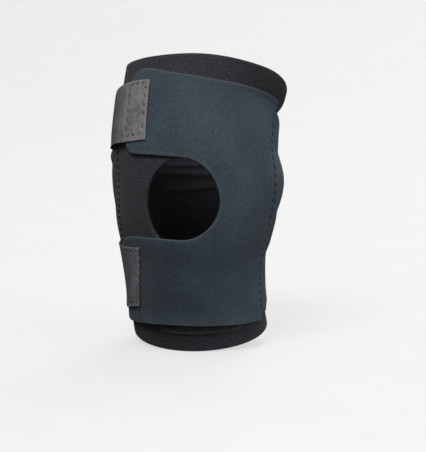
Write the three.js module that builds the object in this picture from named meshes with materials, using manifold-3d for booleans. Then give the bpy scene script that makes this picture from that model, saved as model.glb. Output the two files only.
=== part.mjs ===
// Hinged knee brace: a neoprene sleeve, a C-shaped wrap panel with two hook tabs, and two hinges in pockets.
// It keeps its worn form, with the knee a little bent. The origin is on the axis, level with the hinges.
// Units are mm and degrees. +Z is up, -Y is the front, +X is the lateral side and -X the medial side.
// A place on the brace is a turn (degrees from the front, towards +X), AT (mm along the bent axis, up from
// the hinges) and an offset (mm outwards from the bent form that the sleeve lies on).
import * as THREE from 'three';
import { mergeVertices } from 'three/addons/utils/BufferGeometryUtils.js';
import Module from 'manifold-3d';

// The bend at the knee: the lean of each half, and how far the bend reaches from the hinges.
const UPPER_LEAN = 20;
const LOWER_LEAN = 11;
const BEND_REACH = 40;

// Half widths of the inside of the sleeve, by section, and the sideways shift of the section's centre.
const SECTIONS = [
  { at: -150, left: 50, right: 50, front: 52, back: 52, shift: 1 },
  { at: -130, left: 54, right: 52, front: 53, back: 52, shift: 0 },
  { at: -112, left: 54.4, right: 51, front: 54, back: 53, shift: -1 },
  { at: -90, left: 53.8, right: 50, front: 55, back: 53, shift: -1.5 },
  { at: -60, left: 56.3, right: 51.5, front: 58, back: 54, shift: -1.5 },
  { at: -30, left: 61.2, right: 58.2, front: 61, back: 57, shift: -1 },
  { at: 0, left: 62.4, right: 58.8, front: 63, back: 60, shift: 0 },
  { at: 30, left: 64.6, right: 57.8, front: 64, back: 62, shift: 0 },
  { at: 60, left: 64.5, right: 58.5, front: 65, back: 64.5, shift: 1 },
  { at: 69, left: 64.3, right: 63.4, front: 65.3, back: 65, shift: 1.7 },
  { at: 78, left: 64.2, right: 65, front: 65.7, back: 65.5, shift: 2.3 },
  { at: 88, left: 64, right: 65, front: 66, back: 66, shift: 3 },
  { at: 110, left: 64.5, right: 62, front: 66, back: 66, shift: 5 },
];

// Wall thicknesses, and the clear space between two layers and over the curved pockets.
const SLEEVE_WALL = 3.2;
const PANEL_WALL = 2.6;
const POCKET_WALL = 2.2;
const TAB_WALL = 1.4;
const PATCH_WALL = 1;
const LAYER_GAP = 0.6;
const POCKET_GAP = 0.8;

// A layer that passes over an edge stays up for one length beside it, and comes down over another.
const EASE_START = 4;
const EASE_LENGTH = 7;
// Mean length round the brace for one degree of turn.
const MM_PER_DEGREE = 1.13;

// The sleeve's top rim, its slanted bottom rim, and its hole for the kneecap.
const TOP_RIM = [
  { turn: -180, at: 88 },
  { turn: -130, at: 91 },
  { turn: -80, at: 92 },
  { turn: -50, at: 89.7 },
  { turn: -25, at: 88.5 },
  { turn: 10, at: 88.5 },
  { turn: 45, at: 86.5 },
  { turn: 64, at: 85.6 },
  { turn: 80, at: 83.6 },
  { turn: 98, at: 80.6 },
  { turn: 130, at: 83.6 },
  { turn: 180, at: 88 },
];
const BOTTOM_RIM = { at: -128.5, slant: 0.8 };
const KNEECAP_HOLE = { turn: -1, halfTurn: 28.6, at: -9.5, up: 26, down: 28.3 };

// The wrap panel: its edges, the slot between its tongues, and the round end of the slot. The slot's lower
// edge runs on down the slanted end of the lower tongue.
const PANEL_EDGES = [
  { turn: -84, top: 78.5, bottom: -117 },
  { turn: -66, top: 78.5, bottom: -114.5 },
  { turn: -48, top: 78.5, bottom: -110.5 },
  { turn: -31, top: 77.6, bottom: -105.9 },
  { turn: -9, top: 71.5, bottom: -103.4 },
  { turn: 16, top: 67.5, bottom: -104 },
  { turn: 35, top: 66.5, bottom: -106 },
  { turn: 62, top: 65.5, bottom: -110.7 },
  { turn: 73, top: 64.6, bottom: -112.6 },
  { turn: 82, top: 62.2, bottom: -113.8 },
];
const SLOT_EDGES = [
  { turn: -84, top: 20, bottom: -111 },
  { turn: -72, top: 20, bottom: -76 },
  { turn: -64, top: 19.6, bottom: -49 },
  { turn: -57, top: 19.3, bottom: -39 },
  { turn: -42, top: 18.7, bottom: -33.2 },
  { turn: -20, top: 17.6, bottom: -31 },
  { turn: -2, top: 16.7, bottom: -31 },
];
const SLOT_END = { turn: -2, halfTurn: 28.3, at: -7, up: 23.7, down: 24 };
const PANEL_SEAM = 77.7;
const UPPER_TONGUE_END = -48;
const LOWER_TONGUE_END = -82;
const TONGUE_CORNERS = { upperTop: 15, upperBottom: 10, lower: 8 };
// The seam slants: its top is turned further than its bottom. The slant starts well before the seam.
const SEAM_SLANT = { skew: 7, start: 30 };

// Pockets over the hinges: their turns and heights, the fall of the top edge for each degree towards the
// back, the slant of both ends, the turn of the hinge inside, and the radius of the corners at each end.
const LATERAL_POCKET = {
  from: 78.3,
  to: 117,
  low: -112.5,
  high: 63.4,
  topFall: 0.42,
  skew: SEAM_SLANT.skew,
  hinge: 96,
  cornerFrom: 0,
  cornerTo: 10,
};
const MEDIAL_POCKET = {
  from: -131,
  to: -70.5,
  low: -66,
  high: 66,
  topFall: 0,
  skew: 0,
  hinge: -105,
  cornerFrom: 8,
  cornerTo: 8,
};

// Hinges: two flat arms and a round joint housing.
const HINGE = { arm: 48, armWidth: 16, armWall: 1.6, housing: 12, housingWall: 4.6 };

// The lift of a pocket over the hinge's arms, flat to one distance and gone at another, and over its housing,
// where it is a dome that ends softly at its reach.
const ARM_RISE = { height: 2, flat: 9, gone: 16, flatLength: 50, goneLength: 64 };
const HOUSING_RISE = { height: 6.7, reach: 38 };
const TAB_SPREAD = 2;

// The hook tabs, each from the free end on the medial side to the sewn end on its tongue.
const UPPER_TAB = {
  from: -143,
  to: -27,
  skew: 0,
  corner: 9,
  tongueEnd: UPPER_TONGUE_END,
  edges: [
    { turn: -145, low: 25.5, high: 66 },
    { turn: -85, low: 25.8, high: 68.2 },
    { turn: -48, low: 25.4, high: 69.2 },
    { turn: -25, low: 25.8, high: 67.2 },
  ],
};
const LOWER_TAB = {
  from: -142,
  to: -39,
  skew: 8,
  corner: 9,
  tongueEnd: LOWER_TONGUE_END,
  edges: [
    { turn: -145, low: -117, high: -61.5 },
    { turn: -74, low: -106.7, high: -48 },
    { turn: -43, low: -95.2, high: -40.2 },
    { turn: -33, low: -92.4, high: -37.4 },
  ],
};

// The loop patch on the sleeve that shows under the panel's bottom edge.
const LOOP_PATCH = { from: -23, to: 47.5, low: -112.3, high: -84 };

// Mesh fineness.
const TURN_STEP = 7.5;
const CORNER_STEPS = 4;
const ARC_STEPS = 16;
const ARC_REACH = 84;
const HOUSING_STEPS = 6;
const ROWS = { sleeve: 20, panel: 20, pocket: 23, tab: 6, arm: 10, housing: 4, patch: 3, cutter: 4 };
const POCKET_COLUMNS = 11;
const ARM_COLUMNS = 2;
// Cutters reach well past both faces of a wall.
const CUT_INNER = -6;
const CUT_OUTER = 20;

const { clamp, degToRad, lerp, radToDeg, smoothstep } = THREE.MathUtils;
const wasm = await Module();
wasm.setup();

// The value of one column of a table at x, on a smooth curve through the table's rows.
function curveThrough(rows, key, column, x) {
  const last = rows.length - 1;
  const place = clamp(x, rows[0][key], rows[last][key]);
  let i = 0;
  while (i < last - 1 && place > rows[i + 1][key]) i += 1;
  const slopeAt = (row) => {
    const before = rows[Math.max(row - 1, 0)];
    const after = rows[Math.min(row + 1, last)];
    return (after[column] - before[column]) / (after[key] - before[key]);
  };
  const span = rows[i + 1][key] - rows[i][key];
  const t = (place - rows[i][key]) / span;
  const rise = t * t * (3 - 2 * t);
  const leave = slopeAt(i) * t * (1 - t) * (1 - t);
  const arrive = slopeAt(i + 1) * t * t * (t - 1);
  return lerp(rows[i][column], rows[i + 1][column], rise) + span * (leave + arrive);
}

// The bent axis: its place and its pitch.
function axisAt(at) {
  const lean = degToRad(at >= 0 ? UPPER_LEAN : LOWER_LEAN);
  const perMm = lean / BEND_REACH;
  const pitch = perMm * Math.min(Math.abs(at), BEND_REACH);
  const straight = Math.max(Math.abs(at) - BEND_REACH, 0);
  const y = (1 - Math.cos(pitch)) / perMm + straight * Math.sin(pitch);
  const z = Math.sin(pitch) / perMm + straight * Math.cos(pitch);
  return { y, z: Math.sign(at) * z, pitch: Math.sign(at) * pitch };
}

// The point at a turn, a place along the axis and an offset.
function formPoint(turn, at, offset) {
  const sine = Math.sin(degToRad(turn));
  const cosine = Math.cos(degToRad(turn));
  const width = curveThrough(SECTIONS, 'at', sine >= 0 ? 'right' : 'left', at);
  const depth = curveThrough(SECTIONS, 'at', cosine >= 0 ? 'front' : 'back', at);
  const normal = new THREE.Vector2(sine / width, cosine / depth).normalize();
  const across = width * sine + offset * normal.x + curveThrough(SECTIONS, 'at', 'shift', at);
  const forward = depth * cosine + offset * normal.y;
  const axis = axisAt(at);
  const y = axis.y - forward * Math.cos(axis.pitch);
  const z = axis.z + forward * Math.sin(axis.pitch);
  return new THREE.Vector3(across, y, z);
}

// Moves each vertex of a closed geometry to the point that PLACE gives for it.
function mapped(geometry, place) {
  geometry.deleteAttribute('normal');
  geometry.deleteAttribute('uv');
  const positions = geometry.getAttribute('position');
  const vertex = new THREE.Vector3();
  for (let i = 0; i < positions.count; i += 1) {
    const point = place(vertex.fromBufferAttribute(positions, i));
    positions.setXYZ(i, point.x, point.y, point.z);
  }
  return mergeVertices(geometry);
}

// A closed wall with a column at each of TURNS, from low to high along the axis and from inner to outer. A
// column's SKEW is how much further its top end is turned than its bottom end.
function wall({ turns, rows, low, high, inner, outer, skew = () => 0 }) {
  const columns = turns.length - 1;
  const box = new THREE.BoxGeometry(1, 1, 1, columns, rows, 1);
  return mapped(box, (vertex) => {
    const column = turns[Math.round((vertex.x + 0.5) * columns)];
    const turn = column + skew(column) * vertex.y;
    const at = lerp(low(column), high(column), vertex.y + 0.5);
    const offset = vertex.z > 0 ? outer(turn, at) : inner(turn, at);
    return formPoint(turn, at, offset);
  });
}

// A closed tube round the whole form.
function tube({ segments, rows, low, high, inner, outer }) {
  const profile = { inside: 1, outside: 2 };
  const up = Array.from({ length: rows + 1 }, (_, i) => i / rows);
  const outside = up.map((share) => new THREE.Vector2(profile.outside, share));
  const inside = up.map((share) => new THREE.Vector2(profile.inside, share)).reverse();
  const lathe = new THREE.LatheGeometry([...outside, ...inside, outside[0]], segments);
  return mapped(lathe, (vertex) => {
    const turn = radToDeg(Math.atan2(vertex.x, vertex.z));
    const at = lerp(low(turn), high(turn), vertex.y);
    const outwards = Math.hypot(vertex.x, vertex.z) - profile.inside;
    return formPoint(turn, at, lerp(inner, outer, outwards));
  });
}

// A closed geometry as a solid that can be joined and cut, and back.
function solidOf(geometry) {
  const vertProperties = geometry.getAttribute('position').array;
  const triVerts = new Uint32Array(geometry.index.array);
  return new wasm.Manifold(new wasm.Mesh({ numProp: 3, vertProperties, triVerts }));
}
function geometryOf(solid) {
  const mesh = solid.getMesh();
  const geometry = new THREE.BufferGeometry();
  geometry.setAttribute('position', new THREE.BufferAttribute(mesh.vertProperties, 3));
  geometry.setIndex(new THREE.BufferAttribute(mesh.triVerts, 1));
  return geometry;
}

// Turns from one end to the other on the common grid, with closer ones round the corners at the first end.
function gridTurns(from, to, corner = 0, step = TURN_STEP) {
  const turns = [from, to];
  const cornerTurn = corner / MM_PER_DEGREE;
  for (let i = 1; i <= CORNER_STEPS && corner > 0; i += 1) {
    turns.push(from + cornerTurn * (1 - Math.cos((i / CORNER_STEPS) * (Math.PI / 2))));
  }
  const first = from + cornerTurn + step / 3;
  const last = to - step / 3;
  for (let turn = Math.ceil(first / step) * step; turn <= last; turn += step) turns.push(turn);
  return turns.sort((a, b) => a - b);
}

// Turns at even steps.
function evenTurns(from, to, columns) {
  return Array.from({ length: columns + 1 }, (_, i) => lerp(from, to, i / columns));
}

// Turns across an ellipse, closer at its ends, stopping just short of them.
function arcTurns(centre, halfTurn, steps = ARC_STEPS) {
  const angles = evenTurns(-ARC_REACH, ARC_REACH, steps);
  return angles.map((angle) => centre + halfTurn * Math.sin(degToRad(angle)));
}

// The half height of an ellipse, as a share, at a turn.
function ellipseShare(ellipse, turn) {
  const x = clamp((turn - ellipse.turn) / ellipse.halfTurn, -1, 1);
  return Math.sqrt(1 - x * x);
}

// How much a round corner takes off an edge at a turn, for a corner at the turn END.
function cornerDrop(turn, end, radius) {
  const into = clamp(Math.abs(turn - end) * MM_PER_DEGREE, 0, radius);
  return radius - Math.sqrt(radius * radius - (radius - into) * (radius - into));
}

// 1 where a layer passes over something and close beside it, falling to 0 further off.
function ease(distance) {
  return 1 - smoothstep(distance, EASE_START, EASE_START + EASE_LENGTH);
}

// The lift of a pocket's wall over its hinge, or of a stiffer layer that spreads it further.
function hingeRise(pocket, turn, at, spread = 0) {
  const across = Math.max(Math.abs(turn - pocket.hinge) * MM_PER_DEGREE - spread, 0);
  const along = Math.max(Math.abs(at) - spread, 0);
  const beside = 1 - smoothstep(across, ARM_RISE.flat, ARM_RISE.gone);
  const beyond = 1 - smoothstep(along, ARM_RISE.flatLength, ARM_RISE.goneLength);
  const dome = Math.max(1 - Math.hypot(across, along) ** 2 / HOUSING_RISE.reach ** 2, 0) ** 2;
  return Math.max(ARM_RISE.height * beside * beyond, HOUSING_RISE.height * dome);
}

// The distance from a place to a rectangle of turns and heights, 0 inside it.
function distanceOutside(patch, turn, at) {
  const across = Math.max(patch.from - turn, turn - patch.to, 0) * MM_PER_DEGREE;
  const along = Math.max(patch.low - at, at - patch.high, 0);
  return Math.hypot(across, along);
}

// The inner face of the panel, which passes over the loop patch and rises with the lateral pocket.
function panelInner(turn, at) {
  const overPatch = (PATCH_WALL + LAYER_GAP) * ease(distanceOutside(LOOP_PATCH, turn, at));
  return SLEEVE_WALL + LAYER_GAP + overPatch + hingeRise(LATERAL_POCKET, turn, at);
}

// The inner face of a tab, which passes over its tongue, then straight on to the medial pocket.
function tabInner(tab, turn, at) {
  const pastTongue = Math.max(tab.tongueEnd - turn, 0) * MM_PER_DEGREE;
  const bridge = { ...MEDIAL_POCKET, to: tab.tongueEnd };
  const pocketOuter = POCKET_WALL + POCKET_GAP + hingeRise(MEDIAL_POCKET, turn, at, TAB_SPREAD);
  const overPocket = pocketOuter * ease(distanceOutside(bridge, turn, at));
  const overTongue = (PANEL_WALL + LAYER_GAP) * ease(pastTongue);
  return panelInner(turn, at) + Math.max(overTongue, overPocket);
}

// The sleeve: a tube with a hole for the kneecap.
function sleeve() {
  const whole = tube({
    segments: 360 / TURN_STEP,
    rows: ROWS.sleeve,
    low: (turn) => BOTTOM_RIM.at + BOTTOM_RIM.slant * Math.sin(degToRad(turn)),
    high: (turn) => curveThrough(TOP_RIM, 'turn', 'at', turn),
    inner: 0,
    outer: SLEEVE_WALL,
  });
  const hole = wall({
    turns: arcTurns(KNEECAP_HOLE.turn, KNEECAP_HOLE.halfTurn),
    rows: ROWS.cutter,
    low: (turn) => KNEECAP_HOLE.at - KNEECAP_HOLE.down * ellipseShare(KNEECAP_HOLE, turn),
    high: (turn) => KNEECAP_HOLE.at + KNEECAP_HOLE.up * ellipseShare(KNEECAP_HOLE, turn),
    inner: () => CUT_INNER,
    outer: () => CUT_OUTER,
  });
  return geometryOf(solidOf(whole).subtract(solidOf(hole)));
}

// The wrap panel: one sheet, less the slot between its tongues and the room past the short upper tongue.
function frontPanel() {
  const edge = (column, turn) => curveThrough(PANEL_EDGES, 'turn', column, turn);
  const slot = (column, turn) => curveThrough(SLOT_EDGES, 'turn', column, turn);
  const whole = wall({
    turns: [
      ...gridTurns(LOWER_TONGUE_END, UPPER_TONGUE_END, TONGUE_CORNERS.lower).slice(0, -1),
      ...gridTurns(UPPER_TONGUE_END, PANEL_SEAM, TONGUE_CORNERS.upperTop),
    ],
    rows: ROWS.panel,
    skew: (turn) => SEAM_SLANT.skew * smoothstep(turn, SEAM_SLANT.start, PANEL_SEAM),
    low: (turn) => edge('bottom', turn) + cornerDrop(turn, LOWER_TONGUE_END, TONGUE_CORNERS.lower),
    high: (turn) => edge('top', turn) - cornerDrop(turn, UPPER_TONGUE_END, TONGUE_CORNERS.upperTop),
    inner: panelInner,
    outer: (turn, at) => panelInner(turn, at) + PANEL_WALL,
  });
  const past = { inner: () => CUT_INNER, outer: () => CUT_OUTER };
  const roundEnd = wall({
    ...past,
    turns: arcTurns(SLOT_END.turn, SLOT_END.halfTurn),
    rows: ROWS.cutter,
    low: (turn) => SLOT_END.at - SLOT_END.down * ellipseShare(SLOT_END, turn),
    high: (turn) => SLOT_END.at + SLOT_END.up * ellipseShare(SLOT_END, turn),
  });
  const straightPart = wall({
    ...past,
    turns: [
      LOWER_TONGUE_END - TURN_STEP,
      ...gridTurns(LOWER_TONGUE_END, UPPER_TONGUE_END, TONGUE_CORNERS.lower).slice(0, -1),
      ...gridTurns(UPPER_TONGUE_END, SLOT_END.turn, TONGUE_CORNERS.upperBottom),
    ],
    rows: ROWS.cutter,
    low: (turn) => slot('bottom', turn),
    high: (turn) => slot('top', turn) + cornerDrop(turn, UPPER_TONGUE_END, TONGUE_CORNERS.upperBottom),
  });
  const beyondUpperTongue = wall({
    ...past,
    turns: gridTurns(LOWER_TONGUE_END - TURN_STEP, UPPER_TONGUE_END),
    rows: ROWS.cutter,
    low: (turn) => lerp(slot('bottom', turn), slot('top', turn), 0.5),
    high: () => SECTIONS.at(-1).at,
  });
  const cutters = [roundEnd, straightPart, beyondUpperTongue].map(solidOf);
  return geometryOf(cutters.reduce((solid, cutter) => solid.subtract(cutter), solidOf(whole)));
}

// A hook tab with two round corners at its free end.
function hookTab(tab) {
  const edge = (column, turn) => curveThrough(tab.edges, 'turn', column, turn);
  return wall({
    turns: gridTurns(tab.from, tab.to, tab.corner, TURN_STEP / 2),
    rows: ROWS.tab,
    skew: () => tab.skew,
    low: (turn) => edge('low', turn) + cornerDrop(turn, tab.from, tab.corner),
    high: (turn) => edge('high', turn) - cornerDrop(turn, tab.from, tab.corner),
    inner: (turn, at) => tabInner(tab, turn, at),
    outer: (turn, at) => tabInner(tab, turn, at) + TAB_WALL,
  });
}

// A pocket that bulges over its hinge.
function hingePocket(pocket) {
  const drop = (turn) =>
    cornerDrop(turn, pocket.from, pocket.cornerFrom) + cornerDrop(turn, pocket.to, pocket.cornerTo);
  const inner = (turn, at) => SLEEVE_WALL + LAYER_GAP + hingeRise(pocket, turn, at);
  return wall({
    turns: evenTurns(pocket.from, pocket.to, POCKET_COLUMNS),
    rows: ROWS.pocket,
    skew: () => pocket.skew,
    low: (turn) => pocket.low + drop(turn),
    high: (turn) => pocket.high - pocket.topFall * (turn - pocket.from) - drop(turn),
    inner,
    outer: (turn, at) => inner(turn, at) + POCKET_WALL,
  });
}

// A hinge: the two arms in one strip, joined to the round housing.
function hinge(pocket) {
  const inner = SLEEVE_WALL + LAYER_GAP;
  const halfArm = HINGE.armWidth / 2 / MM_PER_DEGREE;
  const halfHousing = HINGE.housing / MM_PER_DEGREE;
  const housing = { turn: pocket.hinge, halfTurn: halfHousing };
  const arms = wall({
    turns: evenTurns(pocket.hinge - halfArm, pocket.hinge + halfArm, ARM_COLUMNS),
    rows: ROWS.arm,
    low: () => -HINGE.arm,
    high: () => HINGE.arm,
    inner: () => inner,
    outer: () => inner + HINGE.armWall,
  });
  const disc = wall({
    turns: arcTurns(pocket.hinge, halfHousing, HOUSING_STEPS),
    rows: ROWS.housing,
    low: (turn) => -HINGE.housing * ellipseShare(housing, turn),
    high: (turn) => HINGE.housing * ellipseShare(housing, turn),
    inner: () => inner,
    outer: () => inner + HINGE.housingWall,
  });
  return geometryOf(solidOf(arms).add(solidOf(disc)));
}

// The loop patch that lies flat on the sleeve.
function loopPatch() {
  const inner = SLEEVE_WALL + LAYER_GAP;
  return wall({
    turns: gridTurns(LOOP_PATCH.from, LOOP_PATCH.to),
    rows: ROWS.patch,
    low: () => LOOP_PATCH.low,
    high: () => LOOP_PATCH.high,
    inner: () => inner,
    outer: () => inner + PATCH_WALL,
  });
}

// The finishes: dark knit-faced neoprene, slate neoprene, grey hook tape, and hinge metal.
const FINISHES = {
  black: { color: 0x26262a, roughness: 0.95, metalness: 0 },
  slate: { color: 0x3a444c, roughness: 0.9, metalness: 0 },
  grey: { color: 0x5f5e60, roughness: 0.7, metalness: 0 },
  metal: { color: 0x9a9da0, roughness: 0.4, metalness: 1 },
};

const PIECES = [
  { name: 'sleeve', finish: 'black', geometry: sleeve() },
  { name: 'front_panel', finish: 'slate', geometry: frontPanel() },
  { name: 'upper_tab', finish: 'grey', geometry: hookTab(UPPER_TAB) },
  { name: 'lower_tab', finish: 'grey', geometry: hookTab(LOWER_TAB) },
  { name: 'lateral_pocket', finish: 'slate', geometry: hingePocket(LATERAL_POCKET) },
  { name: 'medial_pocket', finish: 'black', geometry: hingePocket(MEDIAL_POCKET) },
  { name: 'lateral_hinge', finish: 'metal', geometry: hinge(LATERAL_POCKET) },
  { name: 'medial_hinge', finish: 'metal', geometry: hinge(MEDIAL_POCKET) },
  { name: 'lower_loop_patch', finish: 'black', geometry: loopPatch() },
];

const brace = new THREE.Group();
brace.name = 'hinged_knee_brace';
for (const { name, finish, geometry } of PIECES) {
  geometry.computeVertexNormals();
  const mesh = new THREE.Mesh(geometry, new THREE.MeshStandardMaterial(FINISHES[finish]));
  mesh.name = name;
  brace.add(mesh);
}

export default brace;
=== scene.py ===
# The looks of a hinged knee brace in its worn form: knit-faced neoprene, woven hook tabs and sewn seams.
# Each cloth piece is cut as a flat outline, given its thickness, and laid on the bent form of the frame.
# Outlines are in mm and degrees: a turn from the front towards +X, AT along the bent axis up from the
# hinges, and an offset outwards. The finished meshes are in metres, in the frame's axes.
import math

import bpy
import numpy as np
from mathutils import Matrix, Vector, noise
from mathutils.geometry import delaunay_2d_cdt
from mathutils.kdtree import KDTree


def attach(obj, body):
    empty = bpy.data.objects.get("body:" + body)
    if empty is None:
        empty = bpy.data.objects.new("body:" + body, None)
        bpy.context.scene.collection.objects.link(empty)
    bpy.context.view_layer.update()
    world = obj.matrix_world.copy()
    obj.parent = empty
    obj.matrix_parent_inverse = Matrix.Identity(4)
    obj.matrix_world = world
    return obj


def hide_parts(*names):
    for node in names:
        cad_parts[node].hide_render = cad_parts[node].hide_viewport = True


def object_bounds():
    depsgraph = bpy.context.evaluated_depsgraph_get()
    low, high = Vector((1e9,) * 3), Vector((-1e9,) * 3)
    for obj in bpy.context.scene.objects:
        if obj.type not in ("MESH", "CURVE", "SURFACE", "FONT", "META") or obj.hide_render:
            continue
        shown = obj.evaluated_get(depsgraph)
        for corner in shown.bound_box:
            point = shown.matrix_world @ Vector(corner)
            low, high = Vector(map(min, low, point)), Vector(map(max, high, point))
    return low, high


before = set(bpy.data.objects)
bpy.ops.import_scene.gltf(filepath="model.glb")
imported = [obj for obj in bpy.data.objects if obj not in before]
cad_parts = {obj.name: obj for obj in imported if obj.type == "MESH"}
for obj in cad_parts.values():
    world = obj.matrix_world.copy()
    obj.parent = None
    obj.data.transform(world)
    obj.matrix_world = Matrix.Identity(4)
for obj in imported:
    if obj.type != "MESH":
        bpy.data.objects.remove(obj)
cad_low, cad_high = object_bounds()

MM = 0.001


def table(columns, rows):
    """Rows of numbers with named columns."""
    return np.array(rows, dtype=[(column, float) for column in columns.split()])


# The bent form: the lean of each half, the reach of the bend, and the half widths of the sleeve's inside.
UPPER_LEAN = 20
LOWER_LEAN = 11
BEND_REACH = 40
SECTIONS = table("at left right front back shift", [
    (-150, 50, 50, 52, 52, 1),
    (-130, 54, 52, 53, 52, 0),
    (-112, 54.4, 51, 54, 53, -1),
    (-90, 53.8, 50, 55, 53, -1.5),
    (-60, 56.3, 51.5, 58, 54, -1.5),
    (-30, 61.2, 58.2, 61, 57, -1),
    (0, 62.4, 58.8, 63, 60, 0),
    (30, 64.6, 57.8, 64, 62, 0),
    (60, 64.5, 58.5, 65, 64.5, 1),
    (69, 64.3, 63.4, 65.3, 65, 1.7),
    (78, 64.2, 65, 65.7, 65.5, 2.3),
    (88, 64, 65, 66, 66, 3),
    (110, 64.5, 62, 66, 66, 5),
])
MM_PER_DEGREE = 1.13
ROUND = 360 * MM_PER_DEGREE

# Walls, the space between two layers, and how a layer comes down past an edge that it covers.
SLEEVE_WALL = 3.2
PANEL_WALL = 2.6
POCKET_WALL = 2.2
TAB_WALL = 1.4
PATCH_WALL = 1
LAYER_GAP = 0.6
POCKET_GAP = 0.8
EASE_START = 4
EASE_LENGTH = 7
PATCH_EASE_LENGTH = 34

# Outlines.
TOP_RIM = table("turn at", [
    (-180, 88),
    (-130, 91),
    (-80, 92),
    (-50, 89.7),
    (-25, 88.5),
    (10, 88.5),
    (45, 86.5),
    (64, 85.6),
    (80, 83.6),
    (98, 80.6),
    (130, 83.6),
    (180, 88),
])
BOTTOM_RIM = {"at": -128.5, "slant": 0.8}
KNEECAP_HOLE = {"turn": -1, "half_turn": 28.6, "at": -9.5, "up": 26, "down": 28.3}
PANEL_EDGES = table("turn top bottom", [
    (-84, 78.5, -117),
    (-66, 78.5, -114.5),
    (-48, 78.5, -110.5),
    (-31, 77.6, -105.9),
    (-9, 71.5, -103.4),
    (16, 67.5, -104),
    (35, 66.5, -106),
    (62, 65.5, -110.7),
    (73, 64.6, -112.6),
    (82, 62.2, -113.8),
])
SLOT_EDGES = table("turn top bottom", [
    (-84, 20, -111),
    (-72, 20, -76),
    (-64, 19.6, -49),
    (-57, 19.3, -39),
    (-42, 18.7, -33.2),
    (-20, 17.6, -31),
    (-2, 16.7, -31),
])
SLOT_END = {"turn": -2, "half_turn": 28.3, "at": -7, "up": 23.7, "down": 24}
PANEL_SEAM = 77.7
SEAM_TURN = 78
SEAM_SLANT = {"per_mm": 0.04, "at": -25, "start": 30}
UPPER_TONGUE_END = -48
LOWER_TONGUE_END = -82
TONGUE_CORNERS = {"upper_top": 15, "upper_bottom": 10, "lower": 8}
LATERAL_POCKET = {
    "from": 78.3, "to": 117, "low": -112.5, "high": 63.4, "top_fall": 0.42, "hinge": 96,
    "corner_from": 0, "corner_to": 10, "slant": SEAM_SLANT["per_mm"],
}
MEDIAL_POCKET = {
    "from": -131, "to": -70.5, "low": -66, "high": 66, "top_fall": 0, "hinge": -105,
    "corner_from": 8, "corner_to": 8, "slant": 0,
}
ARM_RISE = {"height": 2, "flat": 9, "gone": 16, "flat_length": 50, "gone_length": 64}
HOUSING_RISE = {"height": 6.7, "reach": 38}
TAB_SPREAD = 2
UPPER_TAB = {
    "from": -143, "to": -27, "skew": 0, "corner": 9, "tongue_end": UPPER_TONGUE_END, "crease": -46.5,
    "edges": table("turn low high", [
        (-145, 25.5, 66),
        (-85, 25.8, 68.2),
        (-48, 25.4, 69.2),
        (-25, 25.8, 67.2),
    ]),
}
LOWER_TAB = {
    "from": -142, "to": -39, "skew": 8, "corner": 9, "tongue_end": LOWER_TONGUE_END, "crease": None,
    "edges": table("turn low high", [
        (-145, -117, -61.5),
        (-74, -106.7, -48),
        (-43, -95.2, -40.2),
        (-33, -92.4, -37.4),
    ]),
}
LOOP_PATCH = {"from": -23, "to": 47.5, "low": -112.3, "high": -84}

# Soft shapes, in mm: sewn pocket edges, the groove and ridge of the lateral seam, the bulge under the upper
# tab, the panel's loose bottom edge, the lip of the hole, creases behind the bend, a slight unevenness, and
# the tabs settled on their tongues, with a crease and ribs in the upper one.
SEWN = {"reach": 8, "wall": 1.2, "gap": 0.1}
SEAM_GROOVE = {"depth": 0.5, "half_width": 1.7}
SEAM_RIDGE = {"height": 0.25, "away": 6, "half_width": 3.2}
SEAM_WALL = {"extra": PANEL_WALL - POCKET_WALL, "half_width": 6}
MEDIAL_BULGE = {"turn": -92, "at": 20.5, "height": 2.4, "half_across": 16, "half_along": 9}
PANEL_LIFT = {"height": 1.4, "reach": 16, "from": -30, "to": 44, "fade": 14}
HOLE_LIP = {"height": 0.5, "away": 2, "half_width": 1.6, "radius": 30}
BEND_CREASES = table("at slant depth half_width", [
    (-17, 0.1, 1.1, 3.4),
    (-2, -0.06, 1.6, 3.8),
    (14, 0.05, 1.2, 3.6),
])
CREASE_TURNS = {"full": 22, "gone": 52}
UNEVEN = {"height": 0.4, "size": 34}
TAB_SETTLED = 0.45
TAB_CREASE = {"depth": 0.4, "half_width": 1.4}
TAB_RIBS = {"height": 0.22, "length": 7.5, "full": 5, "reach": 30}


# The form.
def smoothstep(x, low, high):
    """0 below LOW, 1 above HIGH, and smooth between them."""
    t = np.clip((x - low) / (high - low), 0, 1)
    return t * t * (3 - 2 * t)


def hump(distance, half_width):
    """1 at no distance, falling away on both sides."""
    return np.exp(-((distance / half_width) ** 2))


def unit(vectors):
    """The directions of vectors, each with a length of 1."""
    return vectors / np.linalg.norm(vectors, axis=-1, keepdims=True)


def curve_through(rows, column, x):
    """One column of a table where its first column is x, on a smooth curve through the table's rows."""
    keys, values = rows[rows.dtype.names[0]], rows[column]
    last = len(keys) - 1
    row = np.arange(len(keys))
    before, after = np.maximum(row - 1, 0), np.minimum(row + 1, last)
    slopes = (values[after] - values[before]) / (keys[after] - keys[before])
    place = np.clip(x, keys[0], keys[last])
    i = np.clip(np.searchsorted(keys, place) - 1, 0, last - 1)
    span = keys[i + 1] - keys[i]
    t = (place - keys[i]) / span
    leave = slopes[i] * t * (1 - t) ** 2
    arrive = slopes[i + 1] * t * t * (t - 1)
    return values[i] + (values[i + 1] - values[i]) * smoothstep(t, 0, 1) + span * (leave + arrive)


def axis_at(at):
    """The bent axis at a place along it: y, z and pitch."""
    per_mm = np.radians(np.where(at >= 0, UPPER_LEAN, LOWER_LEAN)) / BEND_REACH
    pitch = per_mm * np.minimum(np.abs(at), BEND_REACH)
    straight = np.maximum(np.abs(at) - BEND_REACH, 0)
    y = (1 - np.cos(pitch)) / per_mm + straight * np.sin(pitch)
    z = np.sin(pitch) / per_mm + straight * np.cos(pitch)
    return y, np.sign(at) * z, np.sign(at) * pitch


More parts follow.
